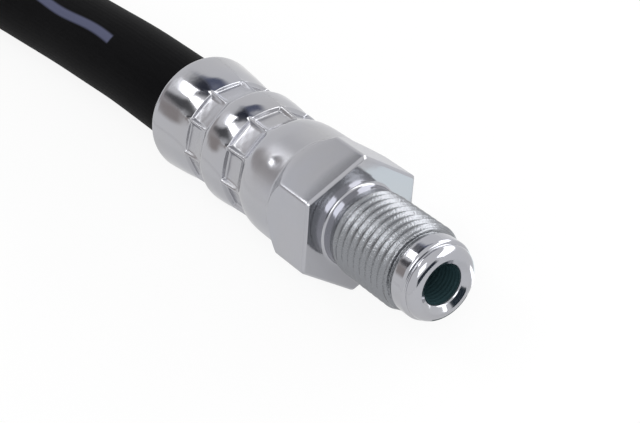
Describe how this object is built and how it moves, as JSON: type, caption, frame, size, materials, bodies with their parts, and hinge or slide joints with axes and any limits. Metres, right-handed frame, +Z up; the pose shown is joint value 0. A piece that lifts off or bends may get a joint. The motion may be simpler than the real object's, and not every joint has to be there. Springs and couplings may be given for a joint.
{
  "type": "hydraulic brake hose",
  "caption": "Short rubber brake hose with a crimped, zinc-plated male end fitting on each end, laid in a gentle S curve.",
  "frame": {"origin": "on the ground, under the middle of the box that holds the two end fittings", "axes": "+Z up; +X along the front fitting's axis towards its nose, and along the hose as it lies"},
  "size_m": [0.3184, 0.0606, 0.0143],
  "materials": {
    "hose_rubber": "extruded black rubber cover with faint lengthwise ribs",
    "zinc_plating": "bright zinc plating over turned and crimped steel",
    "insert_steel": "plain drawn steel tube"
  },
  "bodies": {
    "root": {"hose": "hose_rubber", "front_fitting": "zinc_plating", "front_insert": "insert_steel", "rear_fitting": "zinc_plating", "rear_insert": "insert_steel"}
  },
  "joints": []
}
